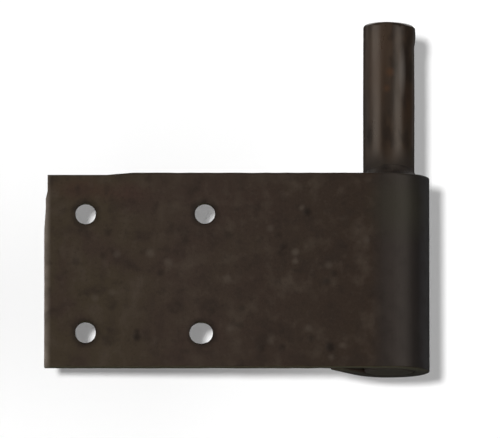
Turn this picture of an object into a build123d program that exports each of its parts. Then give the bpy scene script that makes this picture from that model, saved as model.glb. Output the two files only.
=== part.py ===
from build123d import *
import math
import os

# Jamb pintle: a steel plate whose end is rolled round an upright pin.
# Millimetres. The origin is the centre of the four bolt holes on the mounting face.
# X runs along the leaf towards the pin, Y from the mounting face towards the eye's back, Z up.

# Driving dimensions of the plate
leaf_height = 63.5
sheet_thickness = 4.76
edge_round = 0.5

# Driving dimensions of the bolt holes
hole_diameter = 6.35
hole_spacing_x = 38.1
end_margin = 13.45
top_margin = 13.4
bottom_margin = 11.1
hole_to_pin_distance = 60.1
# The right-hand holes were punched a little off: the upper one away from the other column, the lower one towards it.
punch_error = 0.45

# Driving dimensions of the sheared corner at the leaf's upper left: its step in the top edge, then its two in the end
corner_drop = 0.85
corner_flat = 20.0
corner_ramp = 9.2
corner_setback = 1.1
corner_side_flat = 6.1
corner_side_ramp = 2.6
shelf_setback = 0.5
shelf_flat = 3.3
shelf_ramp = 6.6

# Driving dimensions of the pin
pin_diameter = 16.5
pin_reach = 50.2
pin_top_round = 1.2
pin_foot_chamfer = 0.6

# Driving dimensions of the eye
eye_fit_gap = 0.05
return_angle = 57.0
seam_gap = 0.3

# Driving dimensions of the welds
root_weld_leg = 3.0
root_weld_depth = 0.5
seam_bead_leg = 3.4
seam_bead_crown = 0.9
seam_bead_inset = 0.7

# Values worked out from the driving dimensions
pin_radius = pin_diameter / 2
bore_radius = pin_radius + eye_fit_gap
eye_radius = bore_radius + sheet_thickness
hole_spacing_z = leaf_height - top_margin - bottom_margin
pin_x = hole_spacing_x / 2 + hole_to_pin_distance
pin_y = eye_radius
leaf_end = -hole_spacing_x / 2 - end_margin
leaf_bottom = -hole_spacing_z / 2 - bottom_margin
leaf_top = leaf_bottom + leaf_height
return_direction = Vector(-math.cos(math.radians(return_angle)), -math.sin(math.radians(return_angle)))
return_normal = Vector(return_direction.Y, -return_direction.X)
axis_point = Vector(pin_x, pin_y)


def return_corners():
    """The inner and the outer corner of the rolled end, where it stops just short of the leaf's back."""
    inner_tangent = axis_point + return_normal * bore_radius
    leaf_back = sheet_thickness + seam_gap
    run = (inner_tangent.Y - leaf_back) / -return_direction.Y
    inner = inner_tangent + return_direction * run
    return inner, inner + return_normal * sheet_thickness


def plate_section():
    """The rolled plate seen from above: leaf, roll round the pin, and straight return."""
    inner_corner, outer_corner = return_corners()
    outer_tangent = axis_point + return_normal * eye_radius
    inner_tangent = axis_point + return_normal * bore_radius
    far_side = Vector(1, 0)
    outline = Wire(
        [
            Edge.make_line((leaf_end, 0), (pin_x, 0)),
            Edge.make_three_point_arc((pin_x, 0), axis_point + far_side * eye_radius, outer_tangent),
            Edge.make_line(outer_tangent, outer_corner),
            Edge.make_line(outer_corner, inner_corner),
            Edge.make_line(inner_corner, inner_tangent),
            Edge.make_three_point_arc(
                inner_tangent, axis_point + far_side * bore_radius, (pin_x, sheet_thickness)
            ),
            Edge.make_line((pin_x, sheet_thickness), (leaf_end, sheet_thickness)),
            Edge.make_line((leaf_end, sheet_thickness), (leaf_end, 0)),
        ]
    )
    return Face(outline)


def sheared_corner():
    """What the shear took off the upper left corner: a shallow step in the top edge and two in the end."""
    outside = sheet_thickness
    low_top = leaf_top - corner_drop
    new_end = leaf_end + corner_setback
    shelf_end = leaf_end + shelf_setback
    shelf_top = leaf_top - corner_side_flat - corner_side_ramp
    shelf_bottom = shelf_top - shelf_flat
    points = [
        (leaf_end - outside, leaf_top + outside),
        (leaf_end + corner_flat + corner_ramp, leaf_top + outside),
        (leaf_end + corner_flat + corner_ramp, leaf_top),
        (leaf_end + corner_flat, low_top),
        (new_end, low_top),
        (new_end, leaf_top - corner_side_flat),
        (shelf_end, shelf_top),
        (shelf_end, shelf_bottom),
        (leaf_end, shelf_bottom - shelf_ramp),
        (leaf_end - outside, shelf_bottom - shelf_ramp),
    ]
    offcut = make_face(Polyline(*points, close=True))
    front = Plane(origin=(0, -outside, 0), x_dir=(1, 0, 0), z_dir=(0, -1, 0))
    return extrude(front * offcut, amount=-(sheet_thickness + 2 * outside))


def hole_places():
    """Centres of the four bolt holes as (x, z)."""
    left = -hole_spacing_x / 2
    right = hole_spacing_x / 2
    upper = hole_spacing_z / 2
    lower = -hole_spacing_z / 2
    return [
        (left, upper),
        (right + punch_error, upper),
        (left, lower),
        (right - punch_error, lower),
    ]


def bolt_hole(x, z):
    """The punch's path for one hole, straight through the leaf."""
    start = Plane(origin=(x, -sheet_thickness, z), z_dir=(0, 1, 0))
    return extrude(start * Circle(hole_diameter / 2), amount=3 * sheet_thickness)


def make_leaf():
    """The plate with its rolled eye, corner and holes, and its sharp edges broken."""
    plate = extrude(Pos(0, 0, leaf_bottom) * plate_section(), amount=leaf_height)
    rims = plate.faces().filter_by(Axis.Z).edges()
    ends = plate.edges().filter_by(Axis.Z).group_by(Axis.X)[0]
    plate = fillet(rims + ends, edge_round)
    plate -= sheared_corner()
    for x, z in hole_places():
        plate -= bolt_hole(x, z)
    return plate


def root_weld_section():
    """Half of the root weld's section: a hollow fillet that also bites into the pin."""
    top = leaf_top + root_weld_leg
    fused = pin_radius - root_weld_depth
    toe = pin_radius + root_weld_leg
    bend = root_weld_leg * (1 - math.sqrt(0.5))
    outline = Wire(
        [
            Edge.make_line((fused, 0, leaf_top), (toe, 0, leaf_top)),
            Edge.make_three_point_arc(
                (toe, 0, leaf_top), (pin_radius + bend, 0, leaf_top + bend), (pin_radius, 0, top)
            ),
            Edge.make_line((pin_radius, 0, top), (fused, 0, top - root_weld_depth)),
            Edge.make_line((fused, 0, top - root_weld_depth), (fused, 0, leaf_top)),
        ]
    )
    return Face(outline)


def make_root_weld():
    """The weld round the pin on top of the eye."""
    ring = revolve(root_weld_section(), Axis.Z, 360)
    return Pos(pin_x, pin_y, 0) * ring


def make_pin(root_weld):
    """The round bar, rounded at its free end and flush with the eye below."""
    length = leaf_height + pin_reach
    bar = extrude(Pos(pin_x, pin_y, leaf_bottom) * Circle(pin_radius), amount=length)
    bar = fillet(bar.edges().group_by(Axis.Z)[-1], pin_top_round)
    bar = chamfer(bar.edges().group_by(Axis.Z)[0], pin_foot_chamfer)
    return bar - root_weld


def make_seam_weld():
    """The bead that fills the notch between the rolled end and the leaf's back."""
    inner_corner, outer_corner = return_corners()
    root = Vector(inner_corner.X, sheet_thickness)
    toe = Vector(outer_corner.X - seam_bead_leg, sheet_thickness)
    chord = toe - outer_corner
    outward = Vector(chord.Y, -chord.X).normalized()
    crest = (outer_corner + toe) * 0.5 + outward * seam_bead_crown
    outline = Wire(
        [
            Edge.make_line(toe, root),
            Edge.make_line(root, inner_corner),
            Edge.make_line(inner_corner, outer_corner),
            Edge.make_three_point_arc(outer_corner, crest, toe),
        ]
    )
    length = leaf_height - 2 * seam_bead_inset
    return extrude(Pos(0, 0, leaf_bottom + seam_bead_inset) * Face(outline), amount=length)


root_weld = make_root_weld()
parts = {
    "leaf": make_leaf(),
    "pin": make_pin(root_weld),
    "root_weld": root_weld,
    "seam_weld": make_seam_weld(),
}

os.makedirs("parts", exist_ok=True)
for name, shape in parts.items():
    shape.label = name
    export_step(shape, f"parts/{name}.step")
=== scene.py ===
import math

import bmesh
import bpy
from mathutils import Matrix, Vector, noise


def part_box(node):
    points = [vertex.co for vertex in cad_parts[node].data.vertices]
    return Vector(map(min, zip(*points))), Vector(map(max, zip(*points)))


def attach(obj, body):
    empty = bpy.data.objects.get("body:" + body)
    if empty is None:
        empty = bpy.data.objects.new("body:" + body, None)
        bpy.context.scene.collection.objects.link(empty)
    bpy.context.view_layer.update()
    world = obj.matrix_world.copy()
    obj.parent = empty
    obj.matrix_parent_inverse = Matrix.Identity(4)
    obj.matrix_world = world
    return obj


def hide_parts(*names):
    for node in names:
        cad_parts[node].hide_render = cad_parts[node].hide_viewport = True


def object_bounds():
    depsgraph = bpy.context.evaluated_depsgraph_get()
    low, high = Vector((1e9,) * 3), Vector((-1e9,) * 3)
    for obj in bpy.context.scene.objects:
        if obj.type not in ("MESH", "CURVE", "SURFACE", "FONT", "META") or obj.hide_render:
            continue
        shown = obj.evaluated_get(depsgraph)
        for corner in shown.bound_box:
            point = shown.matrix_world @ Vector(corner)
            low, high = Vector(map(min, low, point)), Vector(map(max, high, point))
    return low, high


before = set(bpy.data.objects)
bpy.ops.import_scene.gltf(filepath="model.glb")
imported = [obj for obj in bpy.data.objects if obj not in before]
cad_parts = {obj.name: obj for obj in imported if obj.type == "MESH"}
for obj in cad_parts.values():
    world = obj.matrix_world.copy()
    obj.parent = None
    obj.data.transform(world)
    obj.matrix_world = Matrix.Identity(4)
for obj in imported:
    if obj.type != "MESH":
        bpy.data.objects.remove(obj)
cad_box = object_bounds()


# The leaf and its rolled eye: one plate of hot-rolled steel, sheared to length, punched for four bolts and
# rolled round the pin at one end. Brown-black oxide covers it, and mill scale has pressed small pits into it.
# The punch left each hole a little wider at the die side, on the leaf's back, and use has worn the rims.

leaf_low, leaf_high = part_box("leaf")
pin_low, pin_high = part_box("pin")
pin_axis = (pin_low + pin_high) / 2
sheet_thickness = 0.00476
eye_radius = leaf_high.x - pin_axis.x
bore_radius = eye_radius - sheet_thickness
edge_round = 0.0005

hole_radius = 0.003175
hole_x = 0.0381 / 2
hole_z = 0.0390 / 2
right_hole_shift = 0.00045

# The middle of each hole, as (x, z): upper left, upper right, lower left and lower right.
hole_places = [
    (-hole_x, hole_z),
    (hole_x + right_hole_shift, hole_z),
    (-hole_x, -hole_z),
    (hole_x - right_hole_shift, -hole_z),
]

# How far wear has drawn out each hole, in the same order, as (along x, along z, all round).
hole_wear = [
    (0.0, -0.0002, 0.0),
    (0.0, -0.00005, 0.0),
    (0.0, 0.0004, 0.0),
    (-0.0006, 0.0, 0.0002),
]

# How finely the plate's mesh is cut.
merge_distance = 1e-6
cut_tolerance = 1e-7
flat_angle = math.radians(0.1)
leaf_sharp_angle = math.radians(38)
level_normal = 0.99
leaf_face_size = 0.00058
eye_face_turn = math.radians(3)
facet_sag = 0.00004
hole_rows = [0.0007, 0.0017, 0.0024, 0.0031, 0.0038, 0.0043]

# How its faces, edges and holes are worn, and where its finish changes.
leaf_waviness = 0.00007
leaf_waviness_scale = 38.0
leaf_grain = 0.00002
leaf_grain_scale = 420.0
edge_unevenness = 0.00013
edge_unevenness_scale = 130.0
hole_dish_width = 0.0009
hole_dish_depth = 0.00016
hole_rim_wear = 0.00006
hole_flare = 0.00030
hole_flare_start = 0.35
hole_wear_width = 0.0022
hole_grime_width = 0.0023
hole_grime_scale = 600
hole_grime_middle = 0.75
hole_grime_swing = 0.5
hole_grime_strength = 1.2
full_pit_depth = 0.0002
# How far from the left end the painted highlight reaches.
end_highlight_width = 0.0021
roll_start_x = 0.0730
roll_full_x = 0.0775
roll_end_x = 0.0925

# Pits and nibs on the mounting face, as (x, z, radius, depth) in metres. A negative depth is a raised nib.
leaf_marks = [
    (0.0526, 0.0199, 0.0021, 0.00020),
    (0.0509, 0.0212, 0.0016, -0.00011),
    (0.0448, 0.0084, 0.0019, 0.00014),
    (0.0435, 0.0065, 0.0016, 0.00012),
    (0.0487, 0.0068, 0.0019, -0.00013),
    (0.0487, 0.0039, 0.0016, -0.00012),
    (0.0590, -0.0027, 0.0019, 0.00016),
    (0.0594, 0.0026, 0.0019, -0.00009),
    (0.0613, -0.0001, 0.0019, 0.00013),
    (0.0600, -0.0242, 0.0022, 0.00026),
    (0.0603, -0.0275, 0.0016, -0.00009),
    (0.0636, -0.0236, 0.0016, -0.00008),
    (0.0529, -0.0180, 0.0019, -0.00010),
    (0.0539, -0.0213, 0.0019, 0.00014),
    (0.0406, 0.0146, 0.0019, -0.00009),
    (0.0432, 0.0124, 0.0019, 0.00011),
    (0.0270, 0.0124, 0.0022, 0.00012),
    (0.0267, -0.0020, 0.0022, -0.00008),
    (0.0018, 0.0065, 0.0022, -0.00011),
    (0.0076, 0.0035, 0.0022, -0.00010),
    (0.0053, 0.0003, 0.0021, 0.00012),
    (0.0315, -0.0115, 0.0019, 0.00012),
    (0.0309, -0.0171, 0.0019, 0.00010),
    (0.0276, -0.0180, 0.0019, -0.00009),
    (0.0380, -0.0246, 0.0019, 0.00013),
    (0.0445, -0.0242, 0.0019, 0.00013),
    (0.0406, -0.0220, 0.0019, -0.00007),
    (-0.0024, -0.0210, 0.0019, 0.00020),
    (-0.0024, -0.0190, 0.0016, 0.00012),
    (-0.0118, 0.0133, 0.0021, 0.00012),
    (-0.0134, 0.0058, 0.0019, 0.00011),
    (-0.0089, 0.0061, 0.0019, -0.00009),
    (-0.0160, -0.0082, 0.0019, -0.00008),
    (-0.0105, -0.0063, 0.0019, -0.00007),
    (0.0134, 0.0107, 0.0019, 0.00009),
    (0.0729, -0.0073, 0.0019, 0.00009),
    (0.0717, 0.0107, 0.0019, -0.00007),
    (0.0170, -0.0089, 0.0019, 0.00008),
]


def reaches(part, axis, place):
    """Whether a point, an edge or a face lies past a place along an axis."""
    points = [part] if isinstance(part, bmesh.types.BMVert) else part.verts
    return any(point.co[axis] > place for point in points)


def score(shape, axis, places, faces):
    """Cuts lines across some faces at rising places along an axis, which leaves their form as it was."""
    along = Vector((0, 0, 0))
    along[axis] = 1
    edges = {edge for face in faces for edge in face.edges}
    points = {point for face in faces for point in face.verts}
    rest = [*points, *edges, *faces]
    for place in places:
        cut = bmesh.ops.bisect_plane(
            shape, geom=rest, dist=cut_tolerance, plane_co=along * place, plane_no=along
        )
        rest = [part for part in cut["geom"] if reaches(part, axis, place)]


def on_the_roll(face):
    """Whether a face is one of the flat strips that the roll is made of in the CAD mesh."""
    middle = face.calc_center_median()
    away = math.hypot(middle.x - pin_axis.x, middle.y - pin_axis.y)
    near = min(abs(away - eye_radius), abs(away - bore_radius))
    return near < edge_round and abs(face.normal.z) < level_normal


def beyond_rim(point):
    """How far a point lies outside the nearest bolt hole."""
    return min(math.hypot(point.x - x, point.z - z) for x, z in hole_places) - hole_radius


def in_a_hole(face):
    """Whether a face belongs to the wall of a bolt hole."""
    return beyond_rim(face.calc_center_median()) < edge_round / 10 and abs(face.normal.y) < 0.5


def score_the_roll(shape):
    """Cuts the roll's flat strips finer, by planes through the pin's axis."""
    turn = eye_face_turn
    while turn < math.pi + eye_face_turn / 2:
        faces = [face for face in shape.faces if on_the_roll(face)]
        edges = {edge for face in faces for edge in face.edges}
        points = {point for face in faces for point in face.verts}
        spoke = Vector((math.sin(turn), -math.cos(turn), 0))
        rest = [*points, *edges, *faces]
        bmesh.ops.bisect_plane(shape, geom=rest, dist=cut_tolerance, plane_co=pin_axis, plane_no=spoke)
        turn += eye_face_turn


def round_the_roll(shape):
    """Lifts the new points on the roll onto its true radius, inside and out."""
    for point in shape.verts:
        spoke = Vector((point.co.x - pin_axis.x, point.co.y - pin_axis.y, 0))
        on_wall = leaf_low.z + edge_round < point.co.z < leaf_high.z - edge_round
        for radius in (eye_radius, bore_radius):
            if on_wall and 0 < radius - spoke.length < facet_sag:
                spoke.length = radius
                point.co.x = pin_axis.x + spoke.x
                point.co.y = pin_axis.y + spoke.y


def fine_leaf():
    """The leaf's mesh with its flats joined, and small even faces cut across it."""
    shape = bmesh.new()
    shape.from_mesh(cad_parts["leaf"].data)
    bmesh.ops.remove_doubles(shape, verts=shape.verts, dist=merge_distance)
    bmesh.ops.dissolve_limit(shape, angle_limit=flat_angle, verts=shape.verts[:], edges=shape.edges[:])
    score_the_roll(shape)
    rows = round((leaf_high.z - leaf_low.z) / leaf_face_size)
    columns = int((pin_axis.x - leaf_low.x) / leaf_face_size)
    heights = [leaf_low.z + row * leaf_face_size for row in range(1, rows)]
    lengths = [leaf_low.x + column * leaf_face_size for column in range(1, columns)]
    score(shape, 2, heights, shape.faces[:])
    score(shape, 0, lengths, [face for face in shape.faces if not on_the_roll(face)])
    score(shape, 1, hole_rows, [face for face in shape.faces if in_a_hole(face)])
    round_the_roll(shape)
    return shape


def mark_depth(point):
    """How deep the pits of the mounting face reach at this point, or below 0 how high its nibs stand."""
    depth = 0.0
    for x, z, radius, deep in leaf_marks:
        away = math.hypot(point.x - x, point.z - z) / radius
        if away < 1:
            depth += deep * (1 - away * away) ** 2
    return depth


def open_holes(point):
    """Widens each hole a little at its rim, more at the die side, and the way its own wear drew it out."""
    for (x, z), (pull_x, pull_z, all_round) in zip(hole_places, hole_wear):
        spoke = Vector((point.x - x, 0, point.z - z))
        away = (spoke.length - hole_radius) / hole_wear_width
        if away < 1:
            through = (point.y / sheet_thickness - hole_flare_start) / (1 - hole_flare_start)
            flare = hole_flare * min(max(through, 0.0), 1.0) ** 1.5
            outward = spoke.normalized()
            pulled = max(0.0, outward.x * pull_x + outward.z * pull_z)
            widened = hole_rim_wear + all_round + pulled + flare
            return outward * widened * (1 - max(away, 0.0)) ** 2
    return Vector((0, 0, 0))


def grime(point):
    """How much dark oxide is left round a hole, from 0 to about 1."""
    away = max(0.0, beyond_rim(point) / hole_grime_width)
    if away >= 1:
        return 0.0
    patchy = hole_grime_middle + hole_grime_swing * noise.noise(point * hole_grime_scale)
    return patchy * (1 - away)


def dish_depth(point):
    """How far the punch drew the sheet in beside a hole."""
    away = max(0.0, beyond_rim(point) / hole_dish_width)
    return hole_dish_depth * max(0.0, 1 - away) ** 2


def wear_leaf(shape):
    """Presses every point in along its normal, and notes how pitted it is and how near the left end, where
    the finish paints a highlight.
    """
    shape.normal_update()
    pit = shape.verts.layers.float.new("pit")
    end_highlight = shape.verts.layers.float.new("end_highlight")
    for point in shape.verts:
        place = point.co.copy()
        wave = 0.5 + 0.5 * noise.noise(place * leaf_waviness_scale)
        grain = 0.5 + 0.5 * noise.noise(place * leaf_grain_scale)
        depth = leaf_waviness * wave + leaf_grain * grain
        from_rim = min(place.z - leaf_low.z, leaf_high.z - place.z, place.x - leaf_low.x)
        if from_rim < edge_round:
            depth += edge_unevenness * abs(noise.noise(place * edge_unevenness_scale))
        if place.y < edge_round and point.normal.y < -0.5:
            mark = mark_depth(place)
            depth += mark + dish_depth(place)
            point[pit] = mark / full_pit_depth + hole_grime_strength * grime(place)
        # The share of the painted highlight along the left end.
        point[end_highlight] = max(0.0, 1 - (place.x - leaf_low.x) / end_highlight_width)
        point.co = place - point.normal * max(depth, 0.0)
        if place.y < sheet_thickness + edge_round:
            point.co += open_holes(place)


def show(name, data):
    """Puts a new object with this data into the scene."""
    shown = bpy.data.objects.new(name, data)
    bpy.context.scene.collection.objects.link(shown)
    return shown


def add_piece(name, shape, sharp_angle):
    """Makes a mesh object from the worked shape, smooth but for its sharp edges."""
    mesh = bpy.data.meshes.new(name)
    shape.to_mesh(mesh)
    shape.free()
    mesh.shade_smooth()
    mesh.set_sharp_from_angle(angle=sharp_angle)
    return show(name, mesh)


def feed(tree, value, socket):
    """Gives a socket its number or its link."""
    if isinstance(value, (int, float)):
        socket.default_value = value
    else:
        tree.links.new(value, socket)


def new_finish(name):
    """An empty material, with its node tree, its shader and the object's own coordinates."""
    finish = bpy.data.materials.new(name)
    finish.use_nodes = True
    tree = finish.node_tree
    shader = tree.nodes["Principled BSDF"]
    place = tree.nodes.new("ShaderNodeTexCoord").outputs["Object"]
    return finish, tree, shader, place


def cloud(tree, place, scale, detail, roughness=0.55, stretch=(1, 1, 1)):
    """A noise pattern on the object, finer with a larger scale and drawn out by the stretch."""
    mapping = tree.nodes.new("ShaderNodeMapping")
    mapping.inputs["Scale"].default_value = stretch
    tree.links.new(place, mapping.inputs["Vector"])
    pattern = tree.nodes.new("ShaderNodeTexNoise")
    pattern.inputs["Scale"].default_value = scale
    pattern.inputs["Detail"].default_value = detail
    pattern.inputs["Roughness"].default_value = roughness
    tree.links.new(mapping.outputs["Vector"], pattern.inputs["Vector"])
    return pattern.outputs["Fac"]


def shades(tree, amount, *stops):
    """Turns an amount into colours, one for each (place, colour) stop."""
    ramp = tree.nodes.new("ShaderNodeValToRGB")
    elements = ramp.color_ramp.elements
    while len(elements) < len(stops):
        elements.new(0.5)
    for element, (position, colour) in zip(elements, stops):
        element.position = position
        element.color = (*colour, 1)
    tree.links.new(amount, ramp.inputs["Fac"])
    return ramp.outputs["Color"]


def layer(tree, below, above, amount):
    """Lays one colour over another by an amount from 0 to 1."""
    mix = tree.nodes.new("ShaderNodeMix")
    mix.data_type = "RGBA"
    tree.links.new(amount, mix.inputs["Factor"])
    tree.links.new(below, mix.inputs["A"])
    if isinstance(above, tuple):
        mix.inputs["B"].default_value = (*above, 1)
    else:
        tree.links.new(above, mix.inputs["B"])
    return mix.outputs["Result"]


def blend(tree, below, above, amount):
    """Goes from one number or pattern to another by an amount from 0 to 1."""
    mix = tree.nodes.new("ShaderNodeMix")
    mix.data_type = "FLOAT"
    tree.links.new(amount, mix.inputs["Factor"])
    feed(tree, below, mix.inputs["A"])
    feed(tree, above, mix.inputs["B"])
    return mix.outputs["Result"]


def span(tree, amount, start, end, low=0.0, high=1.0):
    """Rescales an amount from one span to another."""
    scale = tree.nodes.new("ShaderNodeMapRange")
    scale.inputs["From Min"].default_value = start
    scale.inputs["From Max"].default_value = end
    scale.inputs["To Min"].default_value = low
    scale.inputs["To Max"].default_value = high
    tree.links.new(amount, scale.inputs["Value"])
    return scale.outputs["Result"]


def dimple(tree, shader, height, distance, strength=1.0):
    """Gives the shader a relief from a height pattern."""
    bump = tree.nodes.new("ShaderNodeBump")
    bump.inputs["Distance"].default_value = distance
    bump.inputs["Strength"].default_value = strength
    tree.links.new(height, bump.inputs["Height"])
    tree.links.new(bump.outputs["Normal"], shader.inputs["Normal"])


def round_spot(tree, place, centre, radius, reach=(1, 1, 1)):
    """An amount that is 1 at the centre and falls to 0 at the radius, drawn out by the reach."""
    away = tree.nodes.new("ShaderNodeVectorMath")
    away.operation = "SUBTRACT"
    away.inputs[1].default_value = centre
    tree.links.new(place, away.inputs[0])
    squeeze = tree.nodes.new("ShaderNodeVectorMath")
    squeeze.operation = "DIVIDE"
    squeeze.inputs[1].default_value = reach
    tree.links.new(away.outputs["Vector"], squeeze.inputs[0])
    length = tree.nodes.new("ShaderNodeVectorMath")
    length.operation = "LENGTH"
    tree.links.new(squeeze.outputs["Vector"], length.inputs[0])
    return span(tree, length.outputs["Value"], radius, radius * 0.2)


def noted(tree, name):
    """What was noted on the mesh under a name."""
    note = tree.nodes.new("ShaderNodeAttribute")
    note.attribute_name = name
    return note.outputs["Fac"]


def times(tree, first, second):
    """One amount times another, or times a number."""
    product = tree.nodes.new("ShaderNodeMath")
    product.operation = "MULTIPLY"
    for value, socket in zip((first, second), product.inputs):
        feed(tree, value, socket)
    return product.outputs[0]


def dappled(tree, colour, layers):
    """Lays tints over a colour by patterns: (pattern, where it starts, where it is full, share, tint)."""
    for pattern, start, full, share, tint in layers:
        colour = layer(tree, colour, tint, span(tree, pattern, start, full, 0.0, share))
    return colour


def spotted(tree, place, colour, spots):
    """Lays tints over a colour in round spots: (centre, radius, reach, share, tint)."""
    for centre, radius, reach, share, tint in spots:
        spot = round_spot(tree, place, centre, radius, reach)
        colour = layer(tree, colour, tint, times(tree, spot, share))
    return colour


def parts_of(tree, vector):
    """The x, y and z of a vector."""
    split = tree.nodes.new("ShaderNodeSeparateXYZ")
    tree.links.new(vector, split.inputs[0])
    return split.outputs


def facing_up(tree):
    """How far a face looks up, from -1 to 1, and how level it lies, from 0 to 1."""
    upward = parts_of(tree, tree.nodes.new("ShaderNodeNewGeometry").outputs["True Normal"])["Z"]
    level = tree.nodes.new("ShaderNodeMath")
    level.operation = "ABSOLUTE"
    tree.links.new(upward, level.inputs[0])
    return upward, level.outputs[0]


def oxide_steel():
    """Brown-black oxide with patches, specks and pits, painted shade towards the eye, a burnish on the eye
    with painted light in bands, cut edges and a painted highlight on the left end.
    """
    finish, tree, shader, place = new_finish("oxide_steel")
    patches = cloud(tree, place, 62, 2)
    colour = shades(
        tree,
        patches,
        (0.36, (0.0305, 0.0196, 0.0150)),
        (0.50, (0.0308, 0.0206, 0.0154)),
        (0.66, (0.0318, 0.0220, 0.0158)),
    )
    parts = parts_of(tree, place)
    left_half = span(tree, parts["X"], 0.012, -0.012)
    olive = times(tree, left_half, span(tree, patches, 0.38, 0.52, 0.2, 0.85))
    colour = layer(tree, colour, (0.0335, 0.0246, 0.0150), olive)
    red_spots = [
        ((-0.0205, 0.0, 0.0275), 0.0110, (1, 1, 0.42), 0.55, (0.0400, 0.0200, 0.0140)),
        ((-0.0070, 0.0, 0.0262), 0.0110, (1, 1, 0.42), 0.55, (0.0370, 0.0185, 0.0150)),
    ]
    colour = spotted(tree, place, colour, red_spots)
    clouding = cloud(tree, place, 120, 2)
    blotches = cloud(tree, place, 210, 3)
    specks = cloud(tree, place, 1100, 3, 0.6)
    oxide_and_painted_shade_layers = [
        # Painted shade: this first layer darkens the plate from left to right, towards the eye.
        (parts["X"], 0.014, 0.068, 0.80, (0.0208, 0.0133, 0.0090)),
        (clouding, 0.47, 0.30, 0.75, (0.0190, 0.0130, 0.0098)),
        (clouding, 0.54, 0.72, 0.65, (0.0440, 0.0325, 0.0240)),
        (blotches, 0.45, 0.26, 0.70, (0.0150, 0.0100, 0.0075)),
        (blotches, 0.55, 0.78, 0.55, (0.0500, 0.0375, 0.0285)),
        (specks, 0.56, 0.72, 0.35, (0.0100, 0.0070, 0.0054)),
        (specks, 0.42, 0.28, 0.20, (0.0600, 0.0450, 0.0340)),
    ]
    colour = dappled(tree, colour, oxide_and_painted_shade_layers)

    # The eye: a darker burnish from the rolls, and painted light in bands across its turn: lighter under its
    # highlight, darkest where it turns from the lamps, a pale bluish rim.
    rolled = span(tree, parts["X"], roll_start_x, roll_full_x)
    # Painted light: each band's tone stands for how the lamps fall on that part of the eye's turn.
    burnish_and_painted_light = shades(
        tree,
        span(tree, parts["X"], roll_start_x, roll_end_x),
        (0.05, (0.0205, 0.0162, 0.0142)),
        (0.17, (0.0185, 0.0146, 0.0128)),
        (0.31, (0.0255, 0.0203, 0.0178)),
        (0.45, (0.0250, 0.0200, 0.0176)),
        (0.60, (0.0190, 0.0152, 0.0135)),
        (0.71, (0.0110, 0.0092, 0.0088)),
        (0.79, (0.0120, 0.0108, 0.0108)),
        (0.88, (0.0245, 0.0243, 0.0258)),
    )
    burnish_and_painted_light = dappled(tree, burnish_and_painted_light, [(blotches, 0.50, 0.30, 0.5, (0.0120, 0.0094, 0.0082))])
    colour = layer(tree, colour, burnish_and_painted_light, times(tree, rolled, 0.85))

    # A green tinge on the eye's front, the seam weld's heat on the leaf's back, and the pits and nibs.
    green_and_heat = [
        ((0.0840, 0.0, 0.0220), 0.0140, (1, 1, 1), 0.55, (0.0250, 0.0236, 0.0150)),
        ((0.0575, sheet_thickness, 0.0012), 0.0075, (1, 0.5, 9), 0.70, (0.0140, 0.0145, 0.0185)),
    ]
    colour = spotted(tree, place, colour, green_and_heat)
    pits = noted(tree, "pit")
    pit_layers = [
        (pits, 0.05, 0.9, 0.75, (0.0085, 0.0058, 0.0045)),
        (pits, -0.03, -0.6, 0.50, (0.0700, 0.0560, 0.0440)),
    ]
    colour = dappled(tree, colour, pit_layers)

    # The cut edges, browner above and olive below, darker underneath towards the back; then a painted
    # highlight along the left end, and the worn corners.
    upward, level = facing_up(tree)
    cut_below = shades(
        tree,
        span(tree, parts["Y"], 0.0, 0.020),
        (0.15, (0.0380, 0.0336, 0.0095)),
        (0.85, (0.0090, 0.0086, 0.0022)),
    )
    cut_colour = layer(tree, cut_below, (0.0400, 0.0315, 0.0235), span(tree, upward, -0.5, 0.5))
    cut_face = span(tree, level, 0.5, 0.9, 0.0, 0.8)
    colour = layer(tree, colour, cut_colour, cut_face)
    # Painted highlight: a pale band along the left end of the plate.
    end_highlight = times(tree, noted(tree, "end_highlight"), span(tree, blotches, 0.3, 0.7, 0.4, 1.0))
    colour = layer(tree, colour, (0.1950, 0.1650, 0.1400), end_highlight)
    edge = tree.nodes.new("ShaderNodeNewGeometry").outputs["Pointiness"]
    colour = dappled(tree, colour, [(edge, 0.54, 0.64, 0.1, (0.0700, 0.0560, 0.0450))])
    tree.links.new(colour, shader.inputs["Base Color"])

    dull = span(tree, blotches, 0.3, 0.7, 0.54, 0.44)
    rough = blend(tree, blend(tree, dull, 0.50, rolled), 0.85, cut_face)
    tree.links.new(rough, shader.inputs["Roughness"])
    shader.inputs["Specular IOR Level"].default_value = 0.36
    shader.inputs["Specular Tint"].default_value = (1.0, 0.91, 0.82, 1)
    dimple(tree, shader, cloud(tree, place, 850, 5, 0.6), 0.00005, 0.8)
    return finish


leaf_shape = fine_leaf()
wear_leaf(leaf_shape)
leaf = add_piece("leaf_plate", leaf_shape, leaf_sharp_angle)
leaf.data.materials.append(oxide_steel())
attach(leaf, "root")
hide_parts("leaf")


# The pin: a round steel bar through the eye, sawn to length and rounded at the top. It is smoother than the
# plate, satin brown and a little out of round, with draw lines along it, rust spots and a painted highlight
# streak on its front, and a darker, duller foot near the weld that holds it.

pin_radius = (pin_high.x - pin_low.x) / 2
pin_top_round = 0.0012
pin_foot_chamfer = 0.0006
pin_sharp_angle = math.radians(40)
pin_sides = 180
pin_row_height = 0.0010
pin_round_rows = 8
pin_still_core = 0.2
pin_waviness = 0.00020
pin_wave_scale = Vector((150, 150, 42))
pin_burr = 0.00040
pin_burr_low = pin_high.z - 0.0072
pin_worn_rim = 0.00045
pin_worn_from = 0.85
pin_wider_left = 0.00024
pin_wider_right = 0.00006
pin_widening_run = 0.0010


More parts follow.
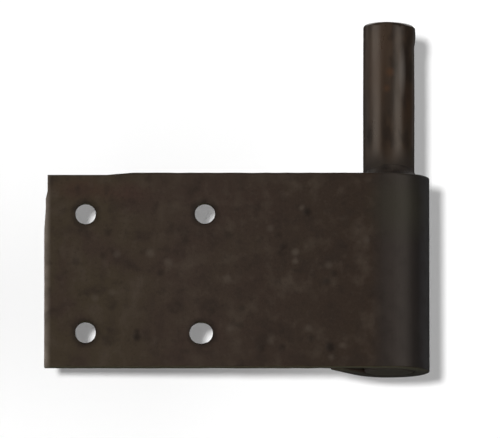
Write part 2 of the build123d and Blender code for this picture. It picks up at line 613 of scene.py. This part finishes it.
def pin_outline():
    """The bar's half section from the middle of its foot to the middle of its top, as (radius, z)."""
    points = [(0.0, pin_low.z), (pin_radius - pin_foot_chamfer, pin_low.z)]
    wall_bottom = pin_low.z + pin_foot_chamfer
    wall_top = pin_high.z - pin_top_round
    rows = round((wall_top - wall_bottom) / pin_row_height)
    for row in range(rows + 1):
        points.append((pin_radius, wall_bottom + (wall_top - wall_bottom) * row / rows))
    for step in range(1, pin_round_rows + 1):
        turn = math.radians(90) * step / pin_round_rows
        reach = pin_radius - pin_top_round + pin_top_round * math.cos(turn)
        points.append((reach, wall_top + pin_top_round * math.sin(turn)))
    for share in (0.7, 0.5, 0.3):
        points.append((pin_radius * share, pin_high.z))
    points.append((0.0, pin_high.z))
    return points


def turned_bar():
    """Spins the half section about the pin's axis."""
    shape = bmesh.new()
    rings = []
    for radius, z in pin_outline():
        if radius == 0:
            rings.append([shape.verts.new((pin_axis.x, pin_axis.y, z))])
            continue
        ring = []
        for side in range(pin_sides):
            turn = 2 * math.pi * side / pin_sides
            x = pin_axis.x + radius * math.cos(turn)
            y = pin_axis.y + radius * math.sin(turn)
            ring.append(shape.verts.new((x, y, z)))
        rings.append(ring)
    for lower, upper in zip(rings, rings[1:]):
        for side in range(pin_sides):
            after = (side + 1) % pin_sides
            if len(lower) == 1:
                shape.faces.new((lower[0], upper[after], upper[side]))
            elif len(upper) == 1:
                shape.faces.new((lower[side], lower[after], upper[0]))
            else:
                shape.faces.new((lower[side], lower[after], upper[after], upper[side]))
    return shape


def wear_pin(shape):
    """Gives the bar waves, a slightly oval section, and the burr and worn rim on one side of its top."""
    for point in shape.verts:
        spoke = Vector((point.co.x - pin_axis.x, point.co.y - pin_axis.y, 0))
        if spoke.length < pin_radius * pin_still_core:
            continue
        outward = spoke.normalized()
        share = spoke.length / pin_radius
        burr_side = max(0.0, outward.x) ** 3
        height = (point.co.z - pin_burr_low) / (pin_high.z - pin_burr_low)
        wave = 0.5 + 0.5 * noise.noise(point.co * pin_wave_scale)
        point.co -= outward * pin_waviness * wave * share
        above_eye = min(max((point.co.z - leaf_high.z) / pin_widening_run, 0.0), 1.0)
        wider = max(-outward.x * pin_wider_left, outward.x * pin_wider_right)
        point.co += outward * wider * above_eye * share
        if 0 < height < 1:
            point.co += outward * pin_burr * burr_side * math.sin(math.pi * height) ** 0.7
        if height > pin_worn_from:
            point.co.z -= pin_worn_rim * max(0.0, outward.x) * share ** 4


def drawn_bar():
    """Satin brown bar steel with draw lines, coppery and grey tints, its own rust spots and stain, and a
    painted highlight streak.
    """
    finish, tree, shader, place = new_finish("drawn_bar")
    streaks = cloud(tree, place, 420, 3, 0.5, (1, 1, 0.05))
    colour = shades(
        tree,
        streaks,
        (0.30, (0.0190, 0.0125, 0.0085)),
        (0.50, (0.0290, 0.0192, 0.0130)),
        (0.70, (0.0440, 0.0315, 0.0230)),
    )
    tints = cloud(tree, place, 75, 2, 0.5, (1, 1, 0.6))
    blotches = cloud(tree, place, 190, 4, 0.6, (1, 1, 0.5))
    bar_layers = [
        (tints, 0.50, 0.66, 0.6, (0.0350, 0.0190, 0.0105)),
        (tints, 0.48, 0.34, 0.6, (0.0190, 0.0155, 0.0135)),
        (blotches, 0.50, 0.64, 0.8, (0.0120, 0.0080, 0.0060)),
    ]
    colour = dappled(tree, colour, bar_layers)

    # Two rust spots, a dark stain, a copper tint, and a painted highlight: a pale streak along the right
    # highlight on the bar's front.
    front = pin_axis.y - pin_radius
    front_spots = [
        ((0.0793, front, 0.0665), 0.0020, (1, 1, 1), blotches, (0.0640, 0.0290, 0.0130)),
        ((0.0783, front, 0.0612), 0.0017, (1, 1, 1), blotches, (0.0640, 0.0290, 0.0130)),
        ((0.0723, front + 0.003, 0.0460), 0.0028, (1, 1, 2), 0.80, (0.0080, 0.0055, 0.0045)),
        ((0.0735, front, 0.0680), 0.0110, (0.7, 1, 1.9), 0.55, (0.0480, 0.0280, 0.0175)),
        # Painted highlight: a pale streak where the right highlight falls.
        ((0.0834, front + 0.001, 0.0668), 0.0012, (1.2, 3, 8), 0.55, (0.0950, 0.0840, 0.0760)),
    ]
    colour = spotted(tree, place, colour, front_spots)

    # The foot, darker and duller up to an uneven height, and the sawn ends.
    uneven = tree.nodes.new("ShaderNodeMath")
    uneven.operation = "ADD"
    tree.links.new(parts_of(tree, place)["Z"], uneven.inputs[0])
    tree.links.new(span(tree, tints, 0.3, 0.7, -0.0025, 0.0025), uneven.inputs[1])
    dark_dull_foot = span(tree, uneven.outputs[0], 0.0425, 0.0370)
    colour = layer(tree, colour, (0.0165, 0.0122, 0.0096), times(tree, dark_dull_foot, 0.9))
    sawn_end = span(tree, facing_up(tree)[1], 0.90, 0.99)
    saw_lines = shades(
        tree,
        cloud(tree, place, 900, 2, 0.5, (0.15, 1, 1)),
        (0.30, (0.0080, 0.0070, 0.0032)),
        (0.70, (0.0200, 0.0178, 0.0050)),
    )
    colour = layer(tree, colour, saw_lines, sawn_end)
    tree.links.new(colour, shader.inputs["Base Color"])
    satin = span(tree, blotches, 0.3, 0.7, 0.26, 0.40)
    rough = blend(tree, blend(tree, satin, 0.68, dark_dull_foot), 0.85, sawn_end)
    tree.links.new(rough, shader.inputs["Roughness"])
    shader.inputs["Specular IOR Level"].default_value = 0.62
    shader.inputs["Specular Tint"].default_value = (1.0, 0.88, 0.76, 1)
    dimple(tree, shader, streaks, 0.00003, 0.5)
    return finish


pin_shape = turned_bar()
wear_pin(pin_shape)
pin = add_piece("pin_bar", pin_shape, pin_sharp_angle)
pin.data.materials.append(drawn_bar())
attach(pin, "root")
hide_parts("pin")


# The root weld: one hollow fillet run round the foot of the pin's free end, laid on the eye's top. The metal
# froze in overlapping ripples of uneven size, and it stayed dull and grey-brown.

weld_low, weld_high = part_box("root_weld")
root_leg = weld_high.z - weld_low.z
root_columns = 681
weld_rows = 41
weld_merge_distance = 0.000002
root_face_end = 0.7
root_seat_end = 0.85
root_least_leg = 0.58
root_fuller_front = 0.55
root_seed = 3.0
root_size_scale = 1.6
root_size_swing = 0.3
root_ripples = 34
root_ripple_height = 0.00010
root_wander_scale = 5.0
root_wander = 2.2
root_swirl = 3.0
root_lump_height = 0.00020
root_lump_scale = 3.4
root_lump_seed = 8.0
root_rise_share = 0.7


class Fields:
    """A short way to write sums on fields in a Geometry Nodes tree."""

    def __init__(self, name):
        self.tree = bpy.data.node_groups.new(name, "GeometryNodeTree")
        self.tree.interface.new_socket("Geometry", in_out="OUTPUT", socket_type="NodeSocketGeometry")
        self.inlet = None

    def named(self, name, kind, value=None):
        """Adds a named input, and returns its socket's identifier."""
        socket = self.tree.interface.new_socket(name, in_out="INPUT", socket_type=kind)
        if value is not None:
            socket.default_value = value
        return socket.identifier

    def start(self):
        """Opens the tree to its named inputs, once they have all been added."""
        self.inlet = self.tree.nodes.new("NodeGroupInput")

    def given(self, name):
        """The field of a named input."""
        return self.inlet.outputs[name]

    def sum(self, operation, a, b=0.0, clamp=False):
        """One step of arithmetic on fields or numbers."""
        node = self.tree.nodes.new("ShaderNodeMath")
        node.operation = operation
        node.use_clamp = clamp
        feed(self.tree, a, node.inputs[0])
        feed(self.tree, b, node.inputs[1])
        return node.outputs[0]

    def share(self, value, start, end):
        """How far the value has come from start to end, from 0 to 1."""
        return self.sum("DIVIDE", self.sum("SUBTRACT", value, start), end - start, clamp=True)

    def lumps(self, place, scale, seed):
        """Smooth random lumps from about -0.5 to 0.5."""
        node = self.tree.nodes.new("ShaderNodeTexNoise")
        node.noise_dimensions = "4D"
        node.inputs["Detail"].default_value = 2
        feed(self.tree, place, node.inputs["Vector"])
        feed(self.tree, scale, node.inputs["Scale"])
        feed(self.tree, seed, node.inputs["W"])
        return self.sum("SUBTRACT", node.outputs["Fac"], 0.5)

    def ripples(self, along, face, wander, swirl):
        """The frozen ripples of a bead, bent back at both sides of its face by the swirl."""
        off_middle = self.sum("SUBTRACT", face, 0.5)
        bent = self.sum("MULTIPLY", self.sum("MULTIPLY", off_middle, off_middle), swirl)
        count = self.sum("MULTIPLY", along, self.given("Ripples"))
        phase = self.sum("ADD", self.sum("ADD", count, bent), wander)
        wave = self.sum("ABSOLUTE", self.sum("SINE", self.sum("MULTIPLY", phase, math.pi)))
        return self.sum("MULTIPLY", wave, self.given("Ripple height"))

    def grid(self, columns):
        """A unit sheet of points, with its two coordinates from 0 to 1."""
        node = self.tree.nodes.new("GeometryNodeMeshGrid")
        node.inputs["Size X"].default_value = 1
        node.inputs["Size Y"].default_value = 1
        node.inputs["Vertices X"].default_value = columns
        node.inputs["Vertices Y"].default_value = weld_rows
        parts = parts_of(self.tree, self.tree.nodes.new("GeometryNodeInputPosition").outputs["Position"])
        along = self.sum("ADD", parts["X"], 0.5)
        across = self.sum("ADD", parts["Y"], 0.5)
        return node.outputs["Mesh"], along, across

    def point(self, x, y, z):
        """A place from its three coordinates."""
        node = self.tree.nodes.new("ShaderNodeCombineXYZ")
        for value, socket in zip((x, y, z), node.inputs):
            feed(self.tree, value, socket)
        return node.outputs[0]

    def finish(self, sheet, places, material):
        """Moves the sheet's points to their places, closes it, and gives it its material."""
        moved = self.tree.nodes.new("GeometryNodeSetPosition")
        self.tree.links.new(sheet, moved.inputs["Geometry"])
        self.tree.links.new(places, moved.inputs["Position"])
        closed = self.tree.nodes.new("GeometryNodeMergeByDistance")
        closed.inputs["Distance"].default_value = weld_merge_distance
        self.tree.links.new(moved.outputs[0], closed.inputs[0])
        real = self.tree.nodes.new("GeometryNodeRealizeInstances")
        self.tree.links.new(closed.outputs[0], real.inputs[0])
        coat = self.tree.nodes.new("GeometryNodeSetMaterial")
        self.tree.links.new(real.outputs[0], coat.inputs["Geometry"])
        self.tree.links.new(material, coat.inputs["Material"])
        outlet = self.tree.nodes.new("NodeGroupOutput")
        self.tree.links.new(coat.outputs[0], outlet.inputs[0])


def grown(name, tree, settings):
    """Runs a tree on an empty object and returns the plain mesh that it makes, with its faces outwards."""
    piece = show(name, bpy.data.meshes.new(name))
    modifier = piece.modifiers.new(name, "NODES")
    modifier.node_group = tree
    for identifier, value in settings.items():
        modifier[identifier] = value
    bpy.context.view_layer.update()
    evaluated = piece.evaluated_get(bpy.context.evaluated_depsgraph_get())
    made = bpy.data.meshes.new_from_object(evaluated)
    piece.modifiers.clear()
    piece.data = made
    shape = bmesh.new()
    shape.from_mesh(made)
    bmesh.ops.remove_doubles(shape, verts=shape.verts, dist=merge_distance)
    bmesh.ops.recalc_face_normals(shape, faces=shape.faces)
    shape.to_mesh(made)
    shape.free()
    made.shade_smooth()
    return piece


def weld_metal():
    """Dull weld metal, dark brown-grey and darker in its hollows."""
    finish, tree, shader, place = new_finish("weld_metal")
    patches = cloud(tree, place, 260, 4)
    colour = shades(
        tree,
        patches,
        (0.32, (0.0130, 0.0098, 0.0080)),
        (0.50, (0.0245, 0.0184, 0.0146)),
        (0.70, (0.0345, 0.0272, 0.0220)),
    )
    hollow = tree.nodes.new("ShaderNodeNewGeometry").outputs["Pointiness"]
    colour = dappled(tree, colour, [(hollow, 0.50, 0.44, 0.7, (0.0080, 0.0060, 0.0050))])
    tree.links.new(colour, shader.inputs["Base Color"])
    tree.links.new(span(tree, patches, 0.3, 0.7, 0.78, 0.62), shader.inputs["Roughness"])
    shader.inputs["Specular IOR Level"].default_value = 0.22
    dimple(tree, shader, cloud(tree, place, 1500, 4), 0.00005, 0.6)
    return finish


def root_weld_tree():
    """The fillet as a closed ring: hollow face, flat seat on the eye, and the wall against the pin."""
    fields = Fields("root_weld_tree")
    for name, value in (
        ("Leg", root_leg),
        ("Pin radius", pin_radius),
        ("Ripples", root_ripples),
        ("Ripple height", root_ripple_height),
        ("Lump height", root_lump_height),
        ("Seed", root_seed),
    ):
        fields.named(name, "NodeSocketFloat", value)
    material = fields.named("Material", "NodeSocketMaterial")
    fields.start()
    sheet, along, across = fields.grid(root_columns)
    leg = fields.given("Leg")
    face = fields.share(across, 0.0, root_face_end)
    seat = fields.share(across, root_face_end, root_seat_end)
    wall = fields.share(across, root_seat_end, 1.0)
    turn = fields.sum("MULTIPLY", along, 2 * math.pi)
    cosine = fields.sum("COSINE", turn)
    sine = fields.sum("SINE", turn)
    loop = fields.point(cosine, sine, 0.0)
    size = fields.lumps(loop, root_size_scale, fields.given("Seed"))
    size = fields.sum("MULTIPLY", size, root_size_swing)
    front = fields.sum("MAXIMUM", fields.sum("MULTIPLY", sine, -1.0), 0.0)
    fuller = fields.sum("ADD", fields.sum("MULTIPLY", front, root_fuller_front), root_least_leg)
    own_leg = fields.sum("MULTIPLY", leg, fields.sum("ADD", size, fuller))
    bend = fields.sum("ADD", fields.sum("MULTIPLY", face, math.pi / 2), math.pi)
    out = fields.sum("MULTIPLY", own_leg, fields.sum("ADD", fields.sum("COSINE", bend), 1.0))
    up = fields.sum("MULTIPLY", own_leg, fields.sum("ADD", fields.sum("SINE", bend), 1.0))
    out = fields.sum("SUBTRACT", out, fields.sum("MULTIPLY", own_leg, seat))
    up = fields.sum("ADD", up, fields.sum("MULTIPLY", own_leg, wall))
    arch = fields.sum("SINE", fields.sum("MULTIPLY", face, math.pi))
    wander = fields.lumps(loop, root_wander_scale, fields.given("Seed"))
    wander = fields.sum("MULTIPLY", wander, root_wander)
    ripple = fields.ripples(along, face, wander, root_swirl)
    lump = fields.lumps(loop, root_lump_scale, root_lump_seed)
    lump = fields.sum("MULTIPLY", lump, fields.given("Lump height"))
    rise = fields.sum("MULTIPLY", fields.sum("ADD", ripple, lump), arch)
    rise = fields.sum("MULTIPLY", rise, root_rise_share)
    out = fields.sum("ADD", out, rise)
    up = fields.sum("ADD", up, rise)
    reach = fields.sum("ADD", fields.given("Pin radius"), out)
    x = fields.sum("ADD", fields.sum("MULTIPLY", reach, cosine), pin_axis.x)
    y = fields.sum("ADD", fields.sum("MULTIPLY", reach, sine), pin_axis.y)
    z = fields.sum("ADD", up, weld_low.z)
    fields.finish(sheet, fields.point(x, y, z), fields.given("Material"))
    return fields.tree, material


weld_finish = weld_metal()
root_tree, root_material = root_weld_tree()
root_weld = grown("root_weld_bead", root_tree, {root_material: weld_finish})
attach(root_weld, "root")
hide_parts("root_weld")


# The seam weld: a bead up the back that closes the eye. It fills the notch between the rolled end and the
# leaf's back, crowned a little, with the same frozen ripples, and it tapers off just short of both edges.

seam_low, seam_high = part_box("seam_weld")
seam_bead_leg = 0.0034
seam_corner_height = 0.00262
seam_gap = 0.0003
seam_columns = 701
seam_face_end = 0.65
seam_inner_end = 0.8
seam_root_end = 0.85
seam_end_run = 0.02
seam_seed = 5.0
seam_noise_run = 6.0
seam_crown = 0.0009
seam_swell_scale = 1.1
seam_swell_seed = 2.0
seam_swell_swing = 0.5
seam_least_swell = 0.75
seam_ripples = 46
seam_ripple_height = 0.00025
seam_wander_scale = 1.7
seam_wander = 2.5
seam_swirl = 3.5


def seam_weld_tree():
    """The bead as a closed bar: crowned face, end of the roll, root and seat on the leaf's back."""
    fields = Fields("seam_weld_tree")
    for name, value in (
        ("Crown", seam_crown),
        ("Ripples", seam_ripples),
        ("Ripple height", seam_ripple_height),
        ("Seed", seam_seed),
    ):
        fields.named(name, "NodeSocketFloat", value)
    material = fields.named("Material", "NodeSocketMaterial")
    fields.start()
    sheet, along, across = fields.grid(seam_columns)
    toe = (seam_low.x, seam_low.y)
    corner = (seam_low.x + seam_bead_leg, seam_low.y + seam_corner_height)
    inner = (seam_high.x, seam_low.y + seam_gap)
    root = (seam_high.x, seam_low.y)
    stations = [
        (0.0, toe),
        (seam_face_end, corner),
        (seam_inner_end, inner),
        (seam_root_end, root),
        (1.0, toe),
    ]
    x, y = toe
    for (start, here), (end, there) in zip(stations, stations[1:]):
        step = fields.share(across, start, end)
        x = fields.sum("ADD", x, fields.sum("MULTIPLY", step, there[0] - here[0]))
        y = fields.sum("ADD", y, fields.sum("MULTIPLY", step, there[1] - here[1]))
    face = fields.share(across, 0.0, seam_face_end)
    arch = fields.sum("SINE", fields.sum("MULTIPLY", face, math.pi))
    chord = Vector((corner[0] - toe[0], corner[1] - toe[1], 0))
    outward = Vector((-chord.y, chord.x, 0)).normalized()
    line = fields.point(0.0, 0.0, fields.sum("MULTIPLY", along, seam_noise_run))
    wander = fields.lumps(line, seam_wander_scale, fields.given("Seed"))
    wander = fields.sum("MULTIPLY", wander, seam_wander)
    ripple = fields.ripples(along, face, wander, seam_swirl)
    swell = fields.lumps(line, seam_swell_scale, seam_swell_seed)
    swell = fields.sum("ADD", fields.sum("MULTIPLY", swell, seam_swell_swing), seam_least_swell)
    rise = fields.sum("ADD", fields.sum("MULTIPLY", fields.given("Crown"), swell), ripple)
    rise = fields.sum("MULTIPLY", rise, arch)
    x = fields.sum("ADD", x, fields.sum("MULTIPLY", rise, outward.x))
    y = fields.sum("ADD", y, fields.sum("MULTIPLY", rise, outward.y))
    centre_x = (toe[0] + corner[0] + inner[0]) / 3
    centre_y = seam_low.y
    end_run = fields.sum("MINIMUM", along, fields.sum("SUBTRACT", 1.0, along))
    full = fields.sum("POWER", fields.sum("DIVIDE", end_run, seam_end_run, clamp=True), 0.5)
    x = fields.sum("ADD", fields.sum("MULTIPLY", fields.sum("SUBTRACT", x, centre_x), full), centre_x)
    y = fields.sum("ADD", fields.sum("MULTIPLY", fields.sum("SUBTRACT", y, centre_y), full), centre_y)
    z = fields.sum("ADD", fields.sum("MULTIPLY", along, seam_high.z - seam_low.z), seam_low.z)
    fields.finish(sheet, fields.point(x, y, z), fields.given("Material"))
    return fields.tree, material


seam_tree, seam_material = seam_weld_tree()
seam_weld = grown("seam_weld_bead", seam_tree, {seam_material: weld_finish})
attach(seam_weld, "root")
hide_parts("seam_weld")


# The place: a white board behind the pintle, a little aslant, that takes its soft shadow, and a white floor
# at its foot that shows only from above and ends at the board. Both can be seen through from behind, so that
# no view of the pintle is blocked.

board_gap = 0.079
sheet_half = 0.6
board_slant = 0.30
board_white = (0.97, 0.97, 0.97)
board_lift = 0.03
floor_lift = 0.50


def one_sided_white(name, lift):
    """White that shows on the front only, with a little of its own light for the camera."""
    finish = bpy.data.materials.new(name)
    finish.use_nodes = True
    tree = finish.node_tree
    tree.nodes.clear()
    paint = tree.nodes.new("ShaderNodeBsdfDiffuse")
    paint.inputs["Color"].default_value = (*board_white, 1)
    glow = tree.nodes.new("ShaderNodeEmission")
    path = tree.nodes.new("ShaderNodeLightPath")
    tree.links.new(times(tree, path.outputs["Is Camera Ray"], lift), glow.inputs["Strength"])
    front = tree.nodes.new("ShaderNodeAddShader")
    tree.links.new(paint.outputs[0], front.inputs[0])
    tree.links.new(glow.outputs[0], front.inputs[1])
    back = tree.nodes.new("ShaderNodeBsdfTransparent")
    side = tree.nodes.new("ShaderNodeNewGeometry").outputs["Backfacing"]
    mix = tree.nodes.new("ShaderNodeMixShader")
    tree.links.new(side, mix.inputs["Fac"])
    tree.links.new(front.outputs[0], mix.inputs[1])
    tree.links.new(back.outputs[0], mix.inputs[2])
    outlet = tree.nodes.new("ShaderNodeOutputMaterial")
    tree.links.new(mix.outputs[0], outlet.inputs["Surface"])
    return finish


def flat_sheet(name, corners, finish):
    """A flat sheet through four corners, which casts no shadow and shows in no reflection."""
    mesh = bpy.data.meshes.new(name)
    mesh.from_pydata(corners, [], [(0, 1, 2, 3)])
    mesh.materials.append(finish)
    sheet = show(name, mesh)
    sheet.visible_shadow = False
    sheet.visible_glossy = False
    return sheet


board_y = cad_box[1].y + board_gap
board_left_y = board_y - (pin_axis.x + sheet_half) * board_slant
board_right_y = board_y + (sheet_half - pin_axis.x) * board_slant
floor_z = cad_box[0].z
flat_sheet(
    "board",
    [
        (-sheet_half, board_left_y, -sheet_half),
        (sheet_half, board_right_y, -sheet_half),
        (sheet_half, board_right_y, sheet_half),
        (-sheet_half, board_left_y, sheet_half),
    ],
    one_sided_white("board_white", board_lift),
)
floor = flat_sheet(
    "floor",
    [
        (-sheet_half, -sheet_half, floor_z),
        (sheet_half, -sheet_half, floor_z),
        (sheet_half, board_right_y, floor_z),
        (-sheet_half, board_left_y, floor_z),
    ],
    one_sided_white("floor_white", floor_lift),
)
floor.visible_diffuse = False


# The light: a sun from the front, a little from the left and below, throws the shadow. A tall soft panel on
# each side makes the long highlights on the pin and the eye, and a weak one further round lights their rims.
# Two panels stand behind for the back, and a low one for the underside.

light_centre = Vector((0.034, 0.0, 0.018))
sun_strength = 2.38
sun_spread = math.radians(2.0)
sun_across = -0.0560
sun_up = -0.1113
room_diffuse = 0.10
room_glossy = 0.015

# Each panel as (name, bearing, height, distance, width, tall, brightness).
panels = [
    ("left_panel", -58, 0.0, 0.9, 0.62, 1.0, 1.32),
    ("right_panel", 42, 0.0, 0.9, 0.54, 1.0, 1.45),
    ("back_left_panel", -150, 1.0, 0.9, 0.7, 0.5, 3.0),
    ("back_right_panel", 150, 1.0, 0.9, 0.7, 0.5, 3.0),
    ("far_left_panel", -111, 0.15, 0.9, 0.8, 1.0, 0.17),
    ("far_right_panel", 137, 0.15, 0.9, 0.3, 1.0, 0.14),
    ("low_panel", 180, -2.0, 0.42, 0.6, 0.6, 1.3),
]


def aim(lamp, towards):
    """Turns a lamp or a camera to look at a point."""
    lamp.rotation_mode = "QUATERNION"
    lamp.rotation_quaternion = (towards - lamp.location).to_track_quat("-Z", "Y")


def front_sun(name):
    """Even light from in front, with its soft edge given by the spread."""
    lamp = bpy.data.lights.new(name, "SUN")
    lamp.energy = sun_strength
    lamp.angle = sun_spread
    sun = show(name, lamp)
    sun.location = light_centre + Vector((sun_across, -1, sun_up))
    sun.visible_glossy = False
    aim(sun, light_centre)


def soft_panel(name, bearing, height, distance, width, tall, brightness):
    """A soft panel. Bearing 0 is straight in front, positive is to the right, and height is in distances."""
    lamp = bpy.data.lights.new(name, "AREA")
    lamp.shape = "RECTANGLE"
    lamp.size = width
    lamp.size_y = tall
    lamp.energy = brightness * math.pi * width * tall
    turn = math.radians(bearing)
    stand = show(name, lamp)
    stand.location = light_centre + Vector((math.sin(turn), -math.cos(turn), height)) * distance
    aim(stand, light_centre)


front_sun("front_sun")
for values in panels:
    soft_panel(*values)


def studio_world():
    """White to the eye, and a dim even room to the surfaces."""
    world = bpy.data.worlds.new("studio")
    bpy.context.scene.world = world
    world.use_nodes = True
    tree = world.node_tree
    sky = tree.nodes["Background"]
    sky.inputs["Color"].default_value = (1, 1, 1, 1)
    path = tree.nodes.new("ShaderNodeLightPath")
    to_surfaces = blend(tree, room_diffuse, room_glossy, path.outputs["Is Glossy Ray"])
    strength = blend(tree, to_surfaces, 1.0, path.outputs["Is Camera Ray"])
    tree.links.new(strength, sky.inputs["Strength"])


studio_world()


# The camera: far off with a long lens, square on to the leaf and looking up at it by eight and a half
# degrees, so that the eye's underside shows as a narrow band.

camera_drop = math.radians(8.5)
camera_distance = 6.4
metres_per_pixel = 0.00032320
image_width = 500
sensor_width = 36
farthest_seen = 20
aim_point = Vector((0.03408, 0.0, 0.01761))

lens = bpy.data.cameras.new("camera")
lens.sensor_width = sensor_width
lens.lens = sensor_width * camera_distance / (metres_per_pixel * image_width)
lens.clip_end = farthest_seen
camera = show("camera", lens)
to_camera = Vector((0, -math.cos(camera_drop), -math.sin(camera_drop)))
camera.location = aim_point + to_camera * camera_distance
aim(camera, aim_point)
bpy.context.scene.camera = camera
bpy.context.scene.view_settings.view_transform = "Standard"
